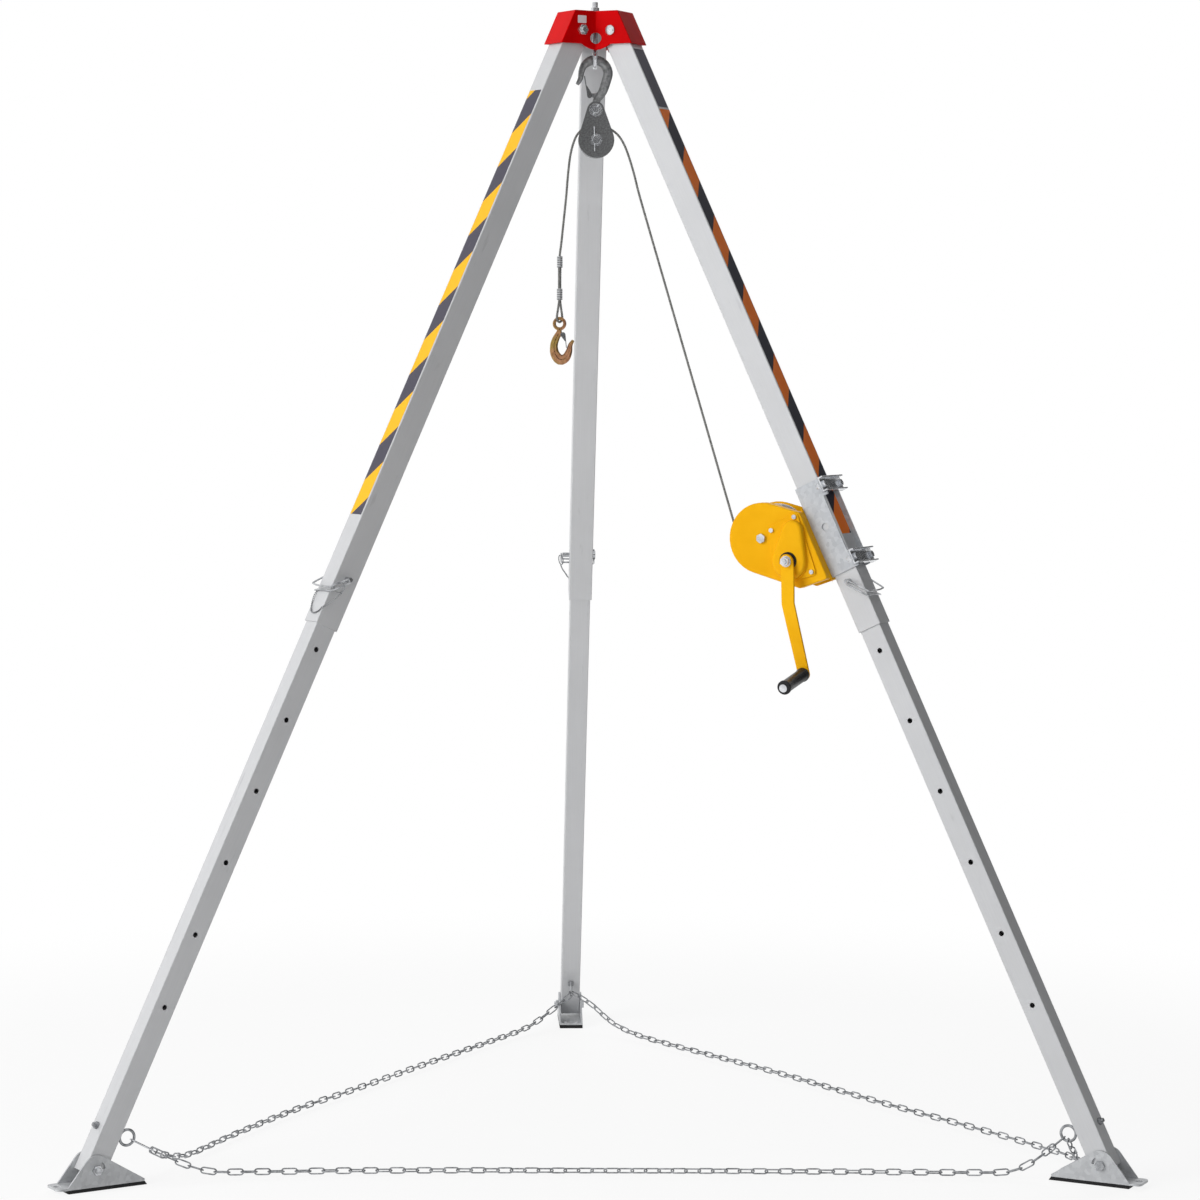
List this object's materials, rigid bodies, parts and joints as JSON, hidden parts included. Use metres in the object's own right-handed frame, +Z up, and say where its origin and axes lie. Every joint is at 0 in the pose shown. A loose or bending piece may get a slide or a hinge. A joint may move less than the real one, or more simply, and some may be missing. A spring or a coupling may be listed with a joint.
{
  "type": "rescue tripod",
  "caption": "Free-standing lifting tripod with telescoping square legs, a folded red head, a hanging snatch block, a geared hand winch on one leg and a safety chain round the feet.",
  "frame": {"origin": "on the ground under the middle of the stance's outline", "axes": "+Z up, the back leg toward +Y, the winch's leg toward +X and -Y"},
  "size_m": [2.076, 1.8005, 2.2723],
  "materials": {
    "leg_alloy": "satin extruded",
    "red_paint": "gloss powder coat",
    "yellow_paint": "gloss powder coat",
    "galvanized": "galvanized",
    "bright_steel": "bright zinc",
    "dark_coat": "dark coat",
    "gold_zinc": "yellow zinc",
    "wire_rope": "stranded wire",
    "black_rubber": "matte",
    "black_plastic": "smooth",
    "white_plastic": "smooth"
  },
  "bodies": {
    "head": {"head_shell": "red_paint", "eye_bolt": "bright_steel", "pivot_bolts": "bright_steel", "pivot_washers": "white_plastic"},
    "block": {"block_hook": "dark_coat", "block_cheeks": "dark_coat", "block_pins": "bright_steel", "sheave_rope": "wire_rope"},
    "block_latch": {"block_latch": "bright_steel"},
    "sheave": {"sheave": "bright_steel"},
    "load_line": {"fall_rope": "wire_rope", "rope_ferrules": "bright_steel"},
    "load_hook": {"load_hook": "gold_zinc"},
    "load_latch": {"load_latch": "bright_steel"},
    "drum": {"drum": "bright_steel", "drum_gear": "bright_steel", "drum_rope": "wire_rope"},
    "crank": {"drive_shaft": "bright_steel", "crank_arm": "yellow_paint", "crank_nut": "bright_steel", "grip_pin": "bright_steel"},
    "grip": {"crank_grip": "black_plastic"},
    "pawl": {"brake_pawl": "bright_steel"},
    "left_upper": {"left_upper_tube": "leg_alloy", "left_lock_pin": "bright_steel"},
    "left_lower": {"left_lower_tube": "leg_alloy", "left_chain_eye": "bright_steel", "left_foot_bolt": "bright_steel", "snap_hook": "bright_steel", "chain_left_back": "bright_steel", "chain_left_right": "bright_steel"},
    "left_bail": {"left_bail": "bright_steel"},
    "left_foot": {"left_foot_bracket": "galvanized", "left_foot_pad": "black_rubber"},
    "right_upper": {"right_upper_tube": "leg_alloy", "right_lock_pin": "bright_steel", "winch_bracket": "galvanized", "clamp_straps": "galvanized", "bracket_bolts": "bright_steel", "winch_frame": "yellow_paint", "gear_cover": "yellow_paint", "cover_screws": "bright_steel", "drum_axle": "bright_steel", "brake_ratchet": "bright_steel", "hoist_rope": "wire_rope"},
    "right_lower": {"right_lower_tube": "leg_alloy", "right_chain_eye": "bright_steel", "right_foot_bolt": "bright_steel"},
    "right_bail": {"right_bail": "bright_steel"},
    "right_foot": {"right_foot_bracket": "galvanized", "right_foot_pad": "black_rubber"},
    "back_upper": {"back_upper_tube": "leg_alloy", "back_lock_pin": "bright_steel"},
    "back_lower": {"back_lower_tube": "leg_alloy", "back_chain_eye": "bright_steel", "back_foot_bolt": "bright_steel", "chain_back_right": "bright_steel"},
    "back_bail": {"back_bail": "bright_steel"},
    "back_foot": {"back_foot_bracket": "galvanized", "back_foot_pad": "black_rubber"}
  },
  "joints": [
    {"name": "left_fold", "type": "hinge", "parent": "head", "child": "left_upper", "pos_m": [-0.04503, -0.31122, 2.21233], "axis": [0.5, -0.866, 0], "range_deg": [0, 16], "deforming": ["chain_left_back", "chain_left_right"]},
    {"name": "left_slide", "type": "slide", "parent": "left_upper", "child": "left_lower", "axis": [0.3783, 0.2184, 0.8996], "range_m": [0, 0.888], "deforming": ["chain_left_back", "chain_left_right"]},
    {"name": "left_bail_flip", "type": "hinge", "parent": "left_upper", "child": "left_bail", "pos_m": [-0.51388, -0.54923, 1.13106], "axis": [0.2834, 0.1636, -0.9449], "range_deg": [0, 100]},
    {"name": "left_foot_rock", "type": "hinge", "parent": "left_lower", "child": "left_foot", "pos_m": [-0.95896, -0.83888, 0.039], "axis": [0.5, -0.866, 0], "range_deg": [-25, 10]},
    {"name": "right_fold", "type": "hinge", "parent": "head", "child": "right_upper", "pos_m": [0.04503, -0.31122, 2.21233], "axis": [0.5, 0.866, 0], "range_deg": [0, 12], "deforming": ["chain_left_right", "chain_back_right", "hoist_rope"]},
    {"name": "right_slide", "type": "slide", "parent": "right_upper", "child": "right_lower", "axis": [-0.3783, 0.2184, 0.8996], "range_m": [0, 0.888], "deforming": ["chain_left_right", "chain_back_right"]},
    {"name": "right_bail_flip", "type": "hinge", "parent": "right_upper", "child": "right_bail", "pos_m": [0.51388, -0.54923, 1.13106], "axis": [0.3536, -0.2042, 0.9128], "range_deg": [0, 100]},
    {"name": "right_foot_rock", "type": "hinge", "parent": "right_lower", "child": "right_foot", "pos_m": [0.95896, -0.83888, 0.039], "axis": [0.5, 0.866, 0], "range_deg": [-25, 10]},
    {"name": "back_fold", "type": "hinge", "parent": "head", "child": "back_upper", "pos_m": [0, -0.23322, 2.21233], "axis": [-1, 0, 0], "range_deg": [0, 16], "deforming": ["chain_left_back", "chain_back_right"]},
    {"name": "back_slide", "type": "slide", "parent": "back_upper", "child": "back_lower", "axis": [0, -0.4368, 0.8996], "range_m": [0, 0.888], "deforming": ["chain_left_back", "chain_back_right"]},
    {"name": "back_bail_flip", "type": "hinge", "parent": "back_upper", "child": "back_bail", "pos_m": [0.0283, 0.29181, 1.13106], "axis": [0, -0.3272, -0.9449], "range_deg": [0, 100]},
    {"name": "back_foot_rock", "type": "hinge", "parent": "back_lower", "child": "back_foot", "pos_m": [0, 0.82209, 0.039], "axis": [-1, 0, 0], "range_deg": [-25, 10]},
    {"name": "crank_turn", "type": "hinge", "parent": "right_upper", "child": "crank", "pos_m": [0.3766, -0.5627, 1.16817], "axis": [-0.5, -0.866, 0], "range_deg": [-390, 5260]},
    {"name": "drum_turn", "type": "hinge", "parent": "right_upper", "child": "drum", "pos_m": [0.34753, -0.48587, 1.21025], "axis": [-0.5, -0.866, 0], "range_deg": [-1290, 97]},
    {"name": "grip_spin", "type": "hinge", "parent": "crank", "child": "grip", "pos_m": [0.3996, -0.59536, 0.94915], "axis": [-0.4638, -0.8657, -0.1882], "continuous": true},
    {"name": "pawl_lift", "type": "hinge", "parent": "right_upper", "child": "pawl", "pos_m": [0.37907, -0.5699, 1.22613], "axis": [-0.5, -0.866, 0], "range_deg": [0, 4], "stiffness_Nm_per_rad": 0.05, "springref_deg": -11.46},
    {"name": "block_swing", "type": "hinge", "parent": "head", "child": "block", "pos_m": [0, -0.28522, 2.13013], "axis": [0, 1, 0], "range_deg": [-12, 12], "deforming": ["hoist_rope"]},
    {"name": "block_latch_open", "type": "hinge", "parent": "block", "child": "block_latch", "pos_m": [-0.00979, -0.28522, 2.08684], "axis": [0, 1, 0], "range_deg": [0, 30], "stiffness_Nm_per_rad": 0.03, "springref_deg": -17.19},
    {"name": "sheave_turn", "type": "hinge", "parent": "block", "child": "sheave", "pos_m": [0.0037, -0.28522, 1.99768], "axis": [0, 1, 0], "range_deg": [-2275, 170]},
    {"name": "hook_lift", "type": "slide", "parent": "block", "child": "load_line", "axis": [0, 0, 1], "range_m": [-1.35, 0.101], "deforming": ["fall_rope"]},
    {"name": "hook_swing", "type": "hinge", "parent": "load_line", "child": "load_hook", "pos_m": [-0.0683, -0.28522, 1.62968], "axis": [0, 1, 0], "range_deg": [-35, 35]},
    {"name": "load_latch_open", "type": "hinge", "parent": "load_hook", "child": "load_latch", "pos_m": [-0.0613, -0.28522, 1.60768], "axis": [0, 1, 0], "range_deg": [0, 20], "stiffness_Nm_per_rad": 0.02, "springref_deg": -17.19}
  ],
  "couplings": [
    {"joint": "drum_turn", "follows": "crank_turn", "ratio": -0.2449},
    {"joint": "sheave_turn", "follows": "crank_turn", "ratio": -0.43217},
    {"joint": "hook_lift", "follows": "crank_turn", "m_per_rad": -0.014694}
  ]
}
